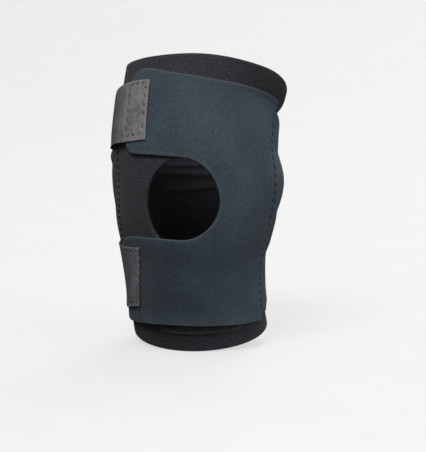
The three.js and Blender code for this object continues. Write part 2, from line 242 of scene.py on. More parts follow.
def form_points(turn, at, offset):
    """Points in metres at the turns, places along the axis and offsets."""
    sine, cosine = np.sin(np.radians(turn)), np.cos(np.radians(turn))
    left, right, front, back, shift = (
        curve_through(SECTIONS, column, at) for column in SECTIONS.dtype.names[1:]
    )
    width = np.where(sine >= 0, right, left)
    depth = np.where(cosine >= 0, front, back)
    normal_x, normal_y = sine / width, cosine / depth
    length = np.hypot(normal_x, normal_y)
    across = width * sine + offset * normal_x / length + shift
    forward = depth * cosine + offset * normal_y / length
    y, z, pitch = axis_at(at)
    return np.stack([across, y - forward * np.cos(pitch), z + forward * np.sin(pitch)], axis=-1) * MM


def soft_form(turn, at):
    """The small unevenness that all layers share: slow waves, and creases behind the bend."""
    points = form_points(turn, at, 0).reshape(-1, 3) / (UNEVEN["size"] * MM)
    waves = np.array([noise.noise(point) for point in points]).reshape(np.shape(turn))
    behind = 180 - np.abs(turn)
    across = np.sign(turn) * behind * MM_PER_DEGREE
    creases = 0
    for row in BEND_CREASES:
        creases = creases + row["depth"] * hump(at - row["at"] - row["slant"] * across, row["half_width"])
    near_back = 1 - smoothstep(behind, CREASE_TURNS["full"], CREASE_TURNS["gone"])
    return UNEVEN["height"] * waves - creases * near_back


def laid(turn, at, offset):
    """Points in metres on the softened form."""
    return form_points(turn, at, offset + soft_form(turn, at))


# The layers.
def ease(distance, length=EASE_LENGTH):
    """1 where a layer passes over something and close beside it, falling to 0 further off."""
    return 1 - smoothstep(distance, EASE_START, EASE_START + length)


def hinge_rise(pocket, turn, at, spread=0):
    """The lift of a pocket's wall over its hinge, or of a stiffer layer that spreads it further."""
    across = np.maximum(np.abs(turn - pocket["hinge"]) * MM_PER_DEGREE - spread, 0)
    along = np.maximum(np.abs(at) - spread, 0)
    beside = 1 - smoothstep(across, ARM_RISE["flat"], ARM_RISE["gone"])
    beyond = 1 - smoothstep(along, ARM_RISE["flat_length"], ARM_RISE["gone_length"])
    dome = np.maximum(1 - (across ** 2 + along ** 2) / HOUSING_RISE["reach"] ** 2, 0) ** 2
    return np.maximum(ARM_RISE["height"] * beside * beyond, HOUSING_RISE["height"] * dome)


def distance_outside(patch, turn, at):
    """The distance from a place to a rectangle of turns and heights, 0 inside it."""
    across = np.maximum(np.maximum(patch["from"] - turn, turn - patch["to"]), 0) * MM_PER_DEGREE
    along = np.maximum(np.maximum(patch["low"] - at, at - patch["high"]), 0)
    return np.hypot(across, along)


def panel_inner(turn, at):
    """The inner face of the panel, which passes over the loop patch and rises with the lateral pocket."""
    over_patch = (PATCH_WALL + LAYER_GAP) * ease(distance_outside(LOOP_PATCH, turn, at), PATCH_EASE_LENGTH)
    return SLEEVE_WALL + LAYER_GAP + over_patch + hinge_rise(LATERAL_POCKET, turn, at)


def tab_inner(tab, turn, at):
    """The inner face of a tab, which passes over its tongue, then straight on to the medial pocket."""
    past_tongue = np.maximum(tab["tongue_end"] - turn, 0) * MM_PER_DEGREE
    bridge = {**MEDIAL_POCKET, "to": tab["tongue_end"]}
    pocket_outer = POCKET_WALL + POCKET_GAP + hinge_rise(MEDIAL_POCKET, turn, at, TAB_SPREAD)
    over_pocket = pocket_outer * ease(distance_outside(bridge, turn, at))
    over_tongue = (PANEL_WALL + LAYER_GAP) * ease(past_tongue)
    return panel_inner(turn, at) + np.maximum(over_tongue, over_pocket)


def medial_bulge(turn, at):
    """The lift of the medial pocket where it is pressed out below the upper tab."""
    across = (turn - MEDIAL_BULGE["turn"]) * MM_PER_DEGREE / MEDIAL_BULGE["half_across"]
    along = (at - MEDIAL_BULGE["at"]) / MEDIAL_BULGE["half_along"]
    return MEDIAL_BULGE["height"] * np.maximum(1 - across ** 2 - along ** 2, 0) ** 2


def slant(at):
    """How far the slanted lateral seam is turned at a place along the axis."""
    return SEAM_SLANT["per_mm"] * (at - SEAM_SLANT["at"])


def from_seam(turn, at):
    """The distance to the lateral seam, negative on the pocket's side."""
    return (SEAM_TURN + slant(at) - turn) * MM_PER_DEGREE


def seam_groove(turn, at):
    """How far the two cloths of the lateral seam are drawn in beside it."""
    return SEAM_GROOVE["depth"] * hump(from_seam(turn, at), SEAM_GROOVE["half_width"])


def sleeve_layer(turn, at):
    half = np.where(at >= KNEECAP_HOLE["at"], KNEECAP_HOLE["up"], KNEECAP_HOLE["down"])
    across = (turn - KNEECAP_HOLE["turn"]) / KNEECAP_HOLE["half_turn"]
    along = (at - KNEECAP_HOLE["at"]) / half
    away = (np.hypot(across, along) - 1) * HOLE_LIP["radius"]
    lip = HOLE_LIP["height"] * hump(away - HOLE_LIP["away"], HOLE_LIP["half_width"])
    return np.zeros_like(turn), SLEEVE_WALL + lip


def panel_layer(turn, at):
    above_edge = at - curve_through(PANEL_EDGES, "bottom", turn)
    beyond = np.maximum(PANEL_LIFT["from"] - turn, turn - PANEL_LIFT["to"])
    loose = np.clip(1 - above_edge / PANEL_LIFT["reach"], 0, 1) ** 2
    loose = loose * (1 - smoothstep(beyond, 0, PANEL_LIFT["fade"]))
    inner = panel_inner(turn, at) + PANEL_LIFT["height"] * loose
    ridge = SEAM_RIDGE["height"] * hump(from_seam(turn, at) - SEAM_RIDGE["away"], SEAM_RIDGE["half_width"])
    return inner, inner + PANEL_WALL + ridge - seam_groove(turn, at)


def tab_layer(tab):
    def layer(turn, at):
        on_tongue = ease(np.maximum(tab["tongue_end"] - turn, 0) * MM_PER_DEGREE)
        inner = tab_inner(tab, turn, at) + medial_bulge(turn, at) - TAB_SETTLED * on_tongue
        outer = inner + TAB_WALL
        if tab["crease"]:
            past = (tab["crease"] - turn) * MM_PER_DEGREE
            ribs = TAB_RIBS["height"] * np.sin(math.pi * past / TAB_RIBS["length"]) ** 2
            ribs = ribs * smoothstep(past, 0, TAB_RIBS["full"])
            ribs = ribs * (1 - smoothstep(past, TAB_RIBS["reach"], 2 * TAB_RIBS["reach"]))
            inner, outer = inner + ribs, outer + ribs
            outer = outer - TAB_CREASE["depth"] * hump(past, TAB_CREASE["half_width"])
        return inner, outer

    return layer


def pocket_margin(pocket, turn, at):
    """The distance from a place on a pocket to its nearest sewn edge."""
    radius = pocket["corner_to"]
    turn = turn - pocket["slant"] * (at - SEAM_SLANT["at"])
    side = (pocket["to"] - turn) * MM_PER_DEGREE
    if pocket["corner_from"]:
        side = np.minimum(side, (turn - pocket["from"]) * MM_PER_DEGREE)
    high = pocket["high"] - pocket["top_fall"] * (turn - pocket["from"])
    end = np.minimum(high - at, at - pocket["low"])
    in_corner = radius - np.hypot(np.maximum(radius - side, 0), np.maximum(radius - end, 0))
    return np.where((side < radius) & (end < radius), in_corner, np.minimum(side, end))


def pocket_layer(pocket):
    def layer(turn, at):
        share = smoothstep(pocket_margin(pocket, turn, at), 0, SEWN["reach"])
        rise = hinge_rise(pocket, turn, at)
        if pocket is MEDIAL_POCKET:
            rise = rise + medial_bulge(turn, at)
        inner = SLEEVE_WALL + SEWN["gap"] + (LAYER_GAP - SEWN["gap"] + rise) * share
        seam_side = SEAM_WALL["extra"] * hump(from_seam(turn, at), SEAM_WALL["half_width"])
        wall = SEWN["wall"] + (POCKET_WALL - SEWN["wall"]) * share + seam_side
        return inner, inner + wall - seam_groove(turn, at)

    return layer


def patch_layer(turn, at):
    inner = np.full_like(turn, SLEEVE_WALL + SEWN["gap"])
    return inner, inner + LAYER_GAP - SEWN["gap"] + PATCH_WALL


# Flat outlines, with the cloth on the left of each loop.
def flat(turn, at):
    """Places on the flat cut, in mm: x round the brace and y along it."""
    turn, at = np.broadcast_arrays(np.asarray(turn, float), np.asarray(at, float))
    return np.stack([turn * MM_PER_DEGREE, at], axis=-1)


def turn_and_at(places):
    """The turns, and the places along the axis, of places on the flat cut."""
    return places[..., 0] / MM_PER_DEGREE, places[..., 1]


def turns_between(first, last, count=600):
    """Turns from FIRST to LAST, closest together at both ends, where corners may be round."""
    share = (1 - np.cos(np.linspace(0, math.pi, count))) / 2
    return first + (last - first) * share


def corner_drop(turn, end, radius):
    """How much a round corner at the turn END takes off an edge."""
    into = np.clip(np.abs(turn - end) * MM_PER_DEGREE, 0, radius)
    return radius - np.sqrt(np.maximum(radius * radius - (radius - into) ** 2, 0))


def spaced(line, spacing):
    """A line again, with points about SPACING apart and the same ends."""
    steps = np.linalg.norm(np.diff(line, axis=0), axis=1)
    along = np.concatenate([[0], np.cumsum(steps)])
    wanted = np.linspace(0, along[-1], max(round(along[-1] / spacing), 1) + 1)
    return np.stack([np.interp(wanted, along, line[:, k]) for k in (0, 1)], axis=1)


def loop_of(lines, spacing):
    """A closed and evenly spaced loop of lines, with straight ones between ends that don't meet."""
    parts = []
    for line, following in zip(lines, lines[1:] + lines[:1]):
        parts.append(line)
        if not np.allclose(line[-1], following[0]):
            parts.append(np.stack([line[-1], following[0]]))
    return np.concatenate([spaced(part, spacing)[:-1] for part in parts])


def ellipse_line(ellipse, first, last, count=400):
    """Part of an ellipse, by angles in degrees from its right end, anticlockwise."""
    angle = np.radians(np.linspace(first, last, count))
    rise = np.where(np.sin(angle) >= 0, ellipse["up"], ellipse["down"]) * np.sin(angle)
    return flat(ellipse["turn"] + ellipse["half_turn"] * np.cos(angle), ellipse["at"] + rise)


def sleeve_loops(spacing):
    count = round(ROUND / spacing)
    turn = np.linspace(-180, 180, count, endpoint=False)
    low = flat(turn, BOTTOM_RIM["at"] + BOTTOM_RIM["slant"] * np.sin(np.radians(turn)))
    high = flat(-turn, curve_through(TOP_RIM, "at", -turn))
    hole = loop_of([ellipse_line(KNEECAP_HOLE, 360, 0, count=1200)], spacing)
    return [low, high, hole]


def panel_loop(spacing):
    def edge(column, turn):
        return curve_through(PANEL_EDGES, column, turn)

    def slot(column, turn):
        return curve_through(SLOT_EDGES, column, turn)

    def slanted(turn, at):
        return flat(turn + slant(at) * smoothstep(turn, SEAM_SLANT["start"], PANEL_SEAM), at)

    def drop(turn, end, corner):
        return corner_drop(turn, end, TONGUE_CORNERS[corner])

    wide = turns_between(LOWER_TONGUE_END, PANEL_SEAM)
    bottom = slanted(wide, edge("bottom", wide) + drop(wide, LOWER_TONGUE_END, "lower"))
    upper = turns_between(PANEL_SEAM, UPPER_TONGUE_END)
    top = slanted(upper, edge("top", upper) - drop(upper, UPPER_TONGUE_END, "upper_top"))
    above = turns_between(UPPER_TONGUE_END, SLOT_END["turn"])
    slot_top = flat(above, slot("top", above) + drop(above, UPPER_TONGUE_END, "upper_bottom"))
    below = turns_between(SLOT_END["turn"], LOWER_TONGUE_END)
    slot_low = flat(below, slot("bottom", below))
    return loop_of([bottom, top, slot_top, ellipse_line(SLOT_END, 90, -90), slot_low], spacing)


def tab_edges(tab, column):
    """The low and high edges of a tab at the turns of its columns."""
    return [curve_through(tab["edges"], side, column) for side in ("low", "high")]


def tab_place(tab, column, share):
    """Places on a tab, by the turn of its column and the share of the way up it."""
    low, high = tab_edges(tab, column)
    return flat(column + tab["skew"] * (share - 0.5), low + (high - low) * share)


SKEW_ROUNDS = 3


def along_tape(tab):
    """Turns places on the flat cut into places along and across a tab's own tape."""
    def tape_places(places):
        turn, at = turn_and_at(places)
        column = turn
        for _ in range(SKEW_ROUNDS):
            low, high = tab_edges(tab, column)
            column = turn - tab["skew"] * ((at - low) / (high - low) - 0.5)
        return flat(column, at - low)

    return tape_places


def tab_loop(tab, spacing):
    column = turns_between(tab["from"], tab["to"])
    drop = flat(0, corner_drop(column, tab["from"], tab["corner"]))
    low, high = tab_place(tab, column, 0) + drop, tab_place(tab, column, 1) - drop
    return loop_of([low, high[::-1]], spacing)


def pocket_loop(pocket, spacing):
    turn = turns_between(pocket["from"], pocket["to"])
    drop = corner_drop(turn, pocket["from"], pocket["corner_from"])
    drop = drop + corner_drop(turn, pocket["to"], pocket["corner_to"])
    low = pocket["low"] + drop
    high = pocket["high"] - pocket["top_fall"] * (turn - pocket["from"]) - drop
    low, high = (flat(turn + pocket["slant"] * (at - SEAM_SLANT["at"]), at) for at in (low, high))
    return loop_of([low, high[::-1]], spacing)


def patch_loop(patch, spacing):
    turn = turns_between(patch["from"], patch["to"])
    return loop_of([flat(turn, patch["low"]), flat(turn[::-1], patch["high"])], spacing)


# Sewing on the flat cut.
def inset(loop, distance):
    """A closed loop moved towards the cloth on its left."""
    ahead = np.roll(loop, -1, axis=0) - loop
    ahead[:, 0] -= ROUND * np.round(ahead[:, 0] / ROUND)
    ahead = unit(ahead)
    normals = np.stack([-ahead[:, 1], ahead[:, 0]], axis=1)
    before = np.roll(normals, 1, axis=0)
    mitre = (normals + before) / (1 + (normals * before).sum(axis=1, keepdims=True))
    return loop + distance * mitre


def stitches(line, stitch):
    """The two ends of each stitch on a line: from the line's left to its right, and back along it."""
    marks = spaced(line, stitch["pitch"])
    ahead = unit(np.diff(marks, axis=0))
    side = np.stack([ahead[:, 1], -ahead[:, 0]], axis=1)
    middle = (marks[:-1] + marks[1:]) / 2
    reach = stitch["across"] * side - stitch["along"] * ahead
    return np.stack([middle - reach, middle + reach], axis=1)


def drawn_in(strokes, stitch, places):
    """How far stitches draw a face in, at places on the flat cut."""
    depths = np.zeros(len(places))
    for first, last in strokes:
        way = last - first
        along = np.clip((places - first) @ way / (way @ way), 0, 1)
        away = np.linalg.norm(places - first - along[:, None] * way, axis=1)
        depths = np.maximum(depths, stitch["depth"] * hump(away, stitch["width"]))
    return depths


# Cloth meshes. Points within MERGED are one, and triangles with a doubled area under SLIVER are left out.
EDGE_ANGLES = np.radians([90, 64, 40, 18, 0])
LATTICE_CLEARANCE = 0.6
MERGED = 1e-6
SLIVER = 1e-6


def inside(points, polygons):
    """Which points are inside an odd number of the polygons."""
    x, y = points.T
    odd = np.zeros(len(points), bool)
    for polygon in polygons:
        for (x0, y0), (x1, y1) in zip(polygon, np.roll(polygon, -1, axis=0)):
            if y0 != y1:
                crosses = (y0 > y) != (y1 > y)
                odd ^= crosses & (x < x0 + (y - y0) * (x1 - x0) / (y1 - y0))
    return odd


def tree_of(points):
    tree = KDTree(len(points))
    for i, (x, y) in enumerate(points):
        tree.insert((x, y, 0), i)
    tree.balance()
    return tree


def distances(points, tree):
    return np.array([tree.find((x, y, 0))[2] for x, y in points])


def lattice(low, high, spacing):
    """A grid of even triangles over a rectangle."""
    rise = spacing * math.sqrt(3) / 2
    y = np.arange(low[1], high[1], rise)
    x = np.arange(low[0], high[0], spacing)
    shift = np.where(np.arange(len(y)) % 2, spacing / 2, 0)
    return np.stack([(x[None, :] + shift[:, None]).ravel(), np.repeat(y, len(x))], axis=1)


def filled(rims, spacing, bands, tube):
    """Points and triangles that fill the cloth between its rims. The rims' points come first."""
    points = np.concatenate(rims)
    starts = np.cumsum([0] + [len(rim) for rim in rims])
    edges = []
    for start, rim in zip(starts, rims):
        edges += [(start + i, start + (i + 1) % len(rim)) for i in range(len(rim))]
    polygons = list(rims)
    copies = {}
    if tube:
        low, high = rims[0], rims[1]
        rows = np.linspace(low[0, 1], high[0, 1], round((high[0, 1] - low[0, 1]) / spacing) + 1)[1:-1]
        left = np.stack([np.full(len(rows), low[0, 0]), rows], axis=1)
        step = np.array([ROUND, 0])
        first = len(points)
        points = np.concatenate([points, left, left + step, low[:1] + step, high[:1] - step])
        left_ids = list(range(first, first + len(rows)))
        right_ids = list(range(first + len(rows), first + 2 * len(rows)))
        low_copy, high_copy = len(points) - 2, len(points) - 1
        copies = {**dict(zip(right_ids, left_ids)), low_copy: starts[0], high_copy: starts[1]}
        last_low, last_high = starts[1] - 1, starts[2] - 1
        edges = [edge for edge in edges if edge not in ((last_low, starts[0]), (last_high, starts[1]))]
        left_side = [starts[0], *left_ids, high_copy]
        right_side = [low_copy, *right_ids, starts[1]]
        edges += [(last_low, low_copy), (last_high, high_copy)]
        edges += list(zip(left_side, left_side[1:])) + list(zip(right_side, right_side[1:]))
        around = [*range(starts[0], starts[1]), *right_side]
        around += [*range(starts[1] + 1, starts[2]), *left_side[::-1]]
        polygons = [points[around], *rims[2:]]
    tree = tree_of(points)
    low, high = points.min(axis=0), points.max(axis=0)
    grids = []
    for band, step in [*bands, (None, spacing)]:
        grid = lattice(low + step / 3, high, step)
        keep = np.ones(len(grid), bool)
        for other, _ in bands[: len(grids)]:
            keep &= ~other(grid)
        if band is not None:
            keep &= band(grid)
        grid = grid[keep]
        grid = grid[inside(grid, polygons)]
        grids.append(grid[distances(grid, tree) > LATTICE_CLEARANCE * step])
    points = np.concatenate([points, *grids])
    _, _, faces, origins, _, _ = delaunay_2d_cdt([Vector(p) for p in points], edges, [], 0, MERGED, True)
    origin = np.array([ids[0] for ids in origins])
    triangles = origin[np.array(faces)]
    a, b, c = points[triangles].transpose(1, 0, 2)
    doubled = np.abs((b - a)[:, 0] * (c - a)[:, 1] - (b - a)[:, 1] * (c - a)[:, 0])
    triangles = triangles[inside((a + b + c) / 3, polygons) & (doubled > SLIVER)]
    weld = np.arange(len(points))
    for copy, original in copies.items():
        weld[copy] = original
    return points, weld[triangles]


def linked(name, mesh):
    """A new object of the mesh, in the scene."""
    mesh.shade_smooth()
    made = bpy.data.objects.new(name, mesh)
    bpy.context.scene.collection.objects.link(made)
    return made


def cloth(name, loops, layer, edge, spacing, bands=(), sewn=(), tube=False, weave=None):
    """A closed sheet with cut edges of radius EDGE. LAYER gives the inner and outer offsets at turns and
    places, BANDS are parts with a finer mesh, SEWN holds stitches and their kinds, and WEAVE gives the
    places that the cloth's grain follows where they aren't those of the flat cut."""
    rims = [inset(loop, edge) for loop in loops]
    face, triangles = filled(rims, spacing, list(bands), tube)
    size = len(face)
    flats = [face, face]
    depths = [np.zeros(2 * size)]
    outers = [np.ones(size, bool), np.zeros(size, bool)]
    cores = [np.zeros(2 * size)]
    quads = []
    count = 2 * size
    start = 0
    for loop in loops:
        n = len(loop)
        outer_rings, inner_rings = [start + np.arange(n)], [size + start + np.arange(n)]
        start += n
        for angle in EDGE_ANGLES[1:]:
            ring = inset(loop, edge * (1 - math.cos(angle)))
            for rings, outer in ((outer_rings, True), (inner_rings, False)):
                rings.append(count + np.arange(n))
                flats.append(ring)
                depths.append(np.full(n, edge * (1 - math.sin(angle))))
                outers.append(np.full(n, outer))
                cores.append(np.full(n, float(angle == 0)))
                count += n
        chain = [*outer_rings, *inner_rings[::-1]]
        for above, below in zip(chain, chain[1:]):
            quads.append(np.stack([below, np.roll(below, -1), np.roll(above, -1), above], axis=1))
    places, depth, outer = np.concatenate(flats), np.concatenate(depths), np.concatenate(outers)
    turn, at = turn_and_at(places)
    low_side, high_side = layer(turn, at)
    for strokes, stitch in sewn:
        high_side = high_side - drawn_in(strokes, stitch, places)
    points = laid(turn, at, np.where(outer, high_side - depth, low_side + depth))
    faces = [triangles, triangles[:, ::-1] + size, np.concatenate(quads)]
    used, corners = np.unique(np.concatenate([f.ravel() for f in faces]), return_inverse=True)
    mesh = bpy.data.meshes.new(name)
    sizes = np.concatenate([np.full(len(f), f.shape[1]) for f in faces])
    split = np.split(corners, np.cumsum(sizes)[:-1])
    mesh.from_pydata(points[used].tolist(), [], [f.tolist() for f in split])
    give_places(mesh, weave(places[used]) if weave else places[used], corners, sizes)
    away = distances(places[used], tree_of(np.concatenate(loops)))
    for label, values in (("edge_mm", away), ("core", np.concatenate(cores)[used])):
        given = mesh.attributes.new(label, "FLOAT", "POINT")
        given.data.foreach_set("value", values.astype(np.float32))
    return linked(name, mesh)


def give_places(mesh, places, corners, sizes):
    """A map of the flat cut, in metres, continued across the line at the back where a tube closes."""
    face_of = np.repeat(np.arange(len(sizes)), sizes)
    x = places[corners, 0]
    low = np.full(len(sizes), np.inf)
    high = np.full(len(sizes), -np.inf)
    np.minimum.at(low, face_of, x)
    np.maximum.at(high, face_of, x)
    crosses = (high - low > ROUND / 2)[face_of] & (x < 0)
    uv = np.stack([x + ROUND * crosses, places[corners, 1]], axis=1) * MM
    mesh.uv_layers.new(name="flat").data.foreach_set("uv", uv.astype(np.float32).ravel())


# Threads.
def tubes(name, turn, at, offset, radius, sides):
    """One mesh of round threads along rows of places, closed at both ends."""
    middle = laid(turn, at, offset)
    outwards = form_points(turn, at, offset + 1) - form_points(turn, at, offset)
    ahead = unit(np.gradient(middle, axis=1))
    side = unit(np.cross(ahead, outwards))
    upwards = np.cross(side, ahead)
    angle = np.linspace(0, 2 * math.pi, sides, endpoint=False)[:, None]
    round_it = np.cos(angle) * side[:, :, None] + np.sin(angle) * upwards[:, :, None]
    points = middle[:, :, None] + radius * MM * round_it
    rows, steps = turn.shape
    ids = np.arange(rows * steps * sides).reshape(rows, steps, sides)
    near, far = ids[:, :-1], ids[:, 1:]
    quads = [far, np.roll(far, -1, axis=2), np.roll(near, -1, axis=2), near]
    quads = np.stack(quads, axis=-1).reshape(-1, 4)
    caps = np.concatenate([ids[:, 0], ids[:, -1, ::-1]])
    mesh = bpy.data.meshes.new(name)
    mesh.from_pydata(points.reshape(-1, 3).tolist(), [], quads.tolist() + caps.tolist())
    return linked(name, mesh)


THREAD = {"steps": 9, "sides": 8, "taut_rounds": 24, "rise": 0.6, "end_dip": 2.4, "dip_power": 6}


def stitching(name, sewn, surface):
    """Stitches drawn taut over the surface, each with its two ends in the cloth."""
    strokes, stitch = sewn
    share = np.linspace(0, 1, THREAD["steps"])
    places = strokes[:, :1] + (strokes[:, 1:] - strokes[:, :1]) * share[None, :, None]
    turn, at = turn_and_at(places)
    height = surface(turn, at) - stitch["depth"]
    for _ in range(THREAD["taut_rounds"]):
        height[:, 1:-1] = np.maximum(height[:, 1:-1], (height[:, :-2] + height[:, 2:]) / 2)
    dip = THREAD["end_dip"] * (2 * share - 1) ** THREAD["dip_power"]
    height = height + stitch["radius"] * (THREAD["rise"] - dip)
    return tubes(name, turn, at, height, stitch["radius"], THREAD["sides"])


# Stitch lines. Depth and width are those of the pit that a stitch draws in, and radius is the thread's.
SEAM_STITCH = {"pitch": 6.5, "across": 1.5, "along": 1.7, "depth": 0.7, "width": 1.1, "radius": 0.42}
POCKET_STITCH = {"pitch": 4.7, "across": 1.2, "along": 0.6, "depth": 0.35, "width": 0.9, "radius": 0.36}
TAB_STITCH = {"pitch": 6.5, "across": 0.8, "along": 0.9, "depth": 0.5, "width": 1, "radius": 0.4}
SEAM_END = 1
POCKET_LINE = {"inset": 0.2, "spacing": 0.5, "off_seam": 1.5}
TAB_LINE_POINTS = 60
TAB_BOXES = {
    "upper": {"left": -45.5, "right": -30, "low": 0.08, "high": 0.93, "left_side": True},
    "lower": {"left": -58, "right": -40.2, "low": 0.07, "high": 0.94, "left_side": False},
}


def seam_strokes():
    edges = PANEL_EDGES[-1]
    ends = np.array([edges["bottom"] + SEAM_END, edges["top"] - SEAM_END])
    return stitches(flat(SEAM_TURN + slant(ends), ends), SEAM_STITCH)


def pocket_strokes(pocket):
    line = inset(pocket_loop(pocket, POCKET_LINE["spacing"]), POCKET_LINE["inset"])
    if pocket["corner_from"]:
        line = np.concatenate([line, line[:1]])
    else:
        line = line[from_seam(*turn_and_at(line)) < -POCKET_LINE["off_seam"]]
    return stitches(line, POCKET_STITCH)


def tab_strokes(tab, box):
    shares = np.linspace(box["low"], box["high"], TAB_LINE_POINTS)
    columns = np.linspace(box["left"], box["right"], TAB_LINE_POINTS)
    lines = [tab_place(tab, box["right"], shares)]
    lines += [tab_place(tab, columns, box[edge]) for edge in ("low", "high")]
    if box["left_side"]:
        lines.append(tab_place(tab, box["left"], shares))
    return np.concatenate([stitches(line, TAB_STITCH) for line in lines])


# Pieces. The spacings of the meshes, and how far from sewing the fine one reaches, in mm.
COARSE = 2.2
MEDIUM = 1.5
FINE = 0.7
RIM = 0.9
FINE_REACH = 6


def near_seam(places):
    return np.abs(from_seam(*turn_and_at(places))) < FINE_REACH


def near_edge(pocket):
    return lambda places: pocket_margin(pocket, *turn_and_at(places)) < FINE_REACH


seam = seam_strokes(), SEAM_STITCH
lateral_sewn = pocket_strokes(LATERAL_POCKET), POCKET_STITCH
medial_sewn = pocket_strokes(MEDIAL_POCKET), POCKET_STITCH
upper_sewn = tab_strokes(UPPER_TAB, TAB_BOXES["upper"]), TAB_STITCH
lower_sewn = tab_strokes(LOWER_TAB, TAB_BOXES["lower"]), TAB_STITCH

pieces = {}
for node, name, loops, layer, edge, spacing, more in (
    ("sleeve", "sleeve_cloth", sleeve_loops(COARSE), sleeve_layer, 0.9, COARSE, {"tube": True}),
    ("front_panel", "wrap_panel", [panel_loop(RIM)], panel_layer, 0.7, MEDIUM,
     {"bands": [(near_seam, FINE)], "sewn": [seam]}),
    ("upper_tab", "upper_hook_tab", [tab_loop(UPPER_TAB, RIM)], tab_layer(UPPER_TAB), 0.4, RIM,
     {"sewn": [upper_sewn], "weave": along_tape(UPPER_TAB)}),
    ("lower_tab", "lower_hook_tab", [tab_loop(LOWER_TAB, RIM)], tab_layer(LOWER_TAB), 0.4, RIM,
     {"sewn": [lower_sewn], "weave": along_tape(LOWER_TAB)}),
    ("lateral_pocket", "lateral_hinge_pocket", [pocket_loop(LATERAL_POCKET, RIM)],
     pocket_layer(LATERAL_POCKET), 0.5, MEDIUM,
     {"bands": [(near_seam, FINE), (near_edge(LATERAL_POCKET), FINE)],
      "sewn": [seam, lateral_sewn]}),
    ("medial_pocket", "medial_hinge_pocket", [pocket_loop(MEDIAL_POCKET, RIM)],
     pocket_layer(MEDIAL_POCKET), 0.5, MEDIUM,
     {"bands": [(near_edge(MEDIAL_POCKET), FINE)], "sewn": [medial_sewn]}),
    ("lower_loop_patch", "loop_patch", [patch_loop(LOOP_PATCH, RIM)], patch_layer, 0.3, MEDIUM, {}),
):
    pieces[node] = cloth(name, loops, layer, edge, spacing, **more)


def seam_surface(turn, at):
    on_panel = panel_layer(turn, at)[1]
    return np.where(from_seam(turn, at) > 0, on_panel, pocket_layer(LATERAL_POCKET)(turn, at)[1])


def sewn_surface(pocket):
    def surface(turn, at):
        on_pocket = pocket_layer(pocket)(turn, at)[1]
        return np.where(pocket_margin(pocket, turn, at) > 0, on_pocket, SLEEVE_WALL)

    return surface


def tab_surface(tab):
    return lambda turn, at: tab_layer(tab)(turn, at)[1]


seam_thread = stitching("seam_stitches", seam, seam_surface)
lateral_thread = stitching("lateral_pocket_stitches", lateral_sewn, sewn_surface(LATERAL_POCKET))
medial_thread = stitching("medial_pocket_stitches", medial_sewn, sewn_surface(MEDIAL_POCKET))
upper_thread = stitching("upper_tab_stitches", upper_sewn, tab_surface(UPPER_TAB))
lower_thread = stitching("lower_tab_stitches", lower_sewn, tab_surface(LOWER_TAB))

# The loops of the patch where it shows below the panel.
LOOPS = {
    "high": -101, "inset": 1, "per_mm2": 1.2, "seed": 5, "half_width": 0.55, "lean": 0.5, "height": 0.8,
    "shortest": 0.6, "tallest": 1.2, "radius": 0.12, "steps": 9, "sides": 5,
}


def patch_loops():
    draws = np.random.default_rng(LOOPS["seed"])
    low = flat(LOOP_PATCH["from"], LOOP_PATCH["low"]) + LOOPS["inset"]
    high = flat(LOOP_PATCH["to"], LOOPS["high"]) - LOOPS["inset"]
    count = round((high - low).prod() * LOOPS["per_mm2"])
    base = low + (high - low) * draws.random((count, 2))
    heading = draws.uniform(0, math.pi, (count, 1))
    lean = draws.uniform(-LOOPS["lean"], LOOPS["lean"], (count, 2))
    tall = LOOPS["height"] * draws.uniform(LOOPS["shortest"], LOOPS["tallest"], (count, 1))
    angle = np.linspace(0, math.pi, LOOPS["steps"])
    reach = LOOPS["half_width"] * np.cos(angle)
    x = base[:, :1] + reach * np.cos(heading) + lean[:, :1] * np.sin(angle)
    y = base[:, 1:] + reach * np.sin(heading) + lean[:, 1:] * np.sin(angle)
    outer = patch_layer(x, y)[1]
    return tubes(
        "patch_pile", x / MM_PER_DEGREE, y, outer - LOOPS["radius"] + tall * np.sin(angle),
        LOOPS["radius"], LOOPS["sides"],
    )


pile = patch_loops()


# Materials. Lengths are in mm, and a grain has a count of spots per mm and a share of the change of colour.
GRAIN_RANGE = (0.3, 0.7)
KNIT = {"wale": 1.0, "course": 0.8, "slope": 0.7, "gutter": 0.35, "fuzz": 0.8}
TAPE_WEAVE = {"rib": 1.1, "pick": 0.9, "shift": 0.45, "rib_height": 0.5, "pick_height": 0.6}
BRUSHED = {"per_mm": (6, 6, 0.3), "roughness": (0.32, 0.5)}
# Cut edges are lighter within this reach in mm, with wear and a painted highlight.
EDGE_WEAR_AND_HIGHLIGHT = (0.3, 2.6)
FOAM = (0.012, 0.012, 0.013)
# A painted shade: the tape is darker where it bends round the side, away from the light, from one place
# along it to another.
BEND_PAINTED_SHADE = {"from": -52, "to": -76, "share": 0.7, "colour": (0.05, 0.047, 0.05)}
# The top band is painted darker on the lateral side, a painted shade. Places are on the flat cut.
LATERAL_PAINTED_SHADE = {
    "start": 5, "full": 60, "fade": 120, "gone": 180, "low": 58, "high": 74, "share": 0.6,
    "colour": (0.004, 0.004, 0.006),
}


def new_material(name, **values):
    """A material with plain values on its shader. Underscores stand for the spaces in a socket's name."""
    made = bpy.data.materials.new(name)
    made.use_nodes = True
    shader = made.node_tree.nodes["Principled BSDF"]
    for socket, value in values.items():
        shader.inputs[socket.replace("_", " ")].default_value = value
    return made, made.node_tree, shader


def add(tree, kind, inputs, output=0, **settings):
    """A new node with its settings and its inputs, links or plain values. Returns one of its outputs."""
    node = tree.nodes.new(kind)
    for key, value in settings.items():
        setattr(node, key, value)
    for key, value in inputs.items():
        if isinstance(value, bpy.types.NodeSocket):
            tree.links.new(value, node.inputs[key])
        else:
            node.inputs[key].default_value = value
    return node.outputs[output]


def maths(tree, operation, first, second=0.0, third=0.0):
    return add(tree, "ShaderNodeMath", {0: first, 1: second, 2: third}, operation=operation)


def mixed(tree, factor, first, second):
    return add(tree, "ShaderNodeMix", {0: factor, 6: first, 7: second}, output=2, data_type="RGBA")


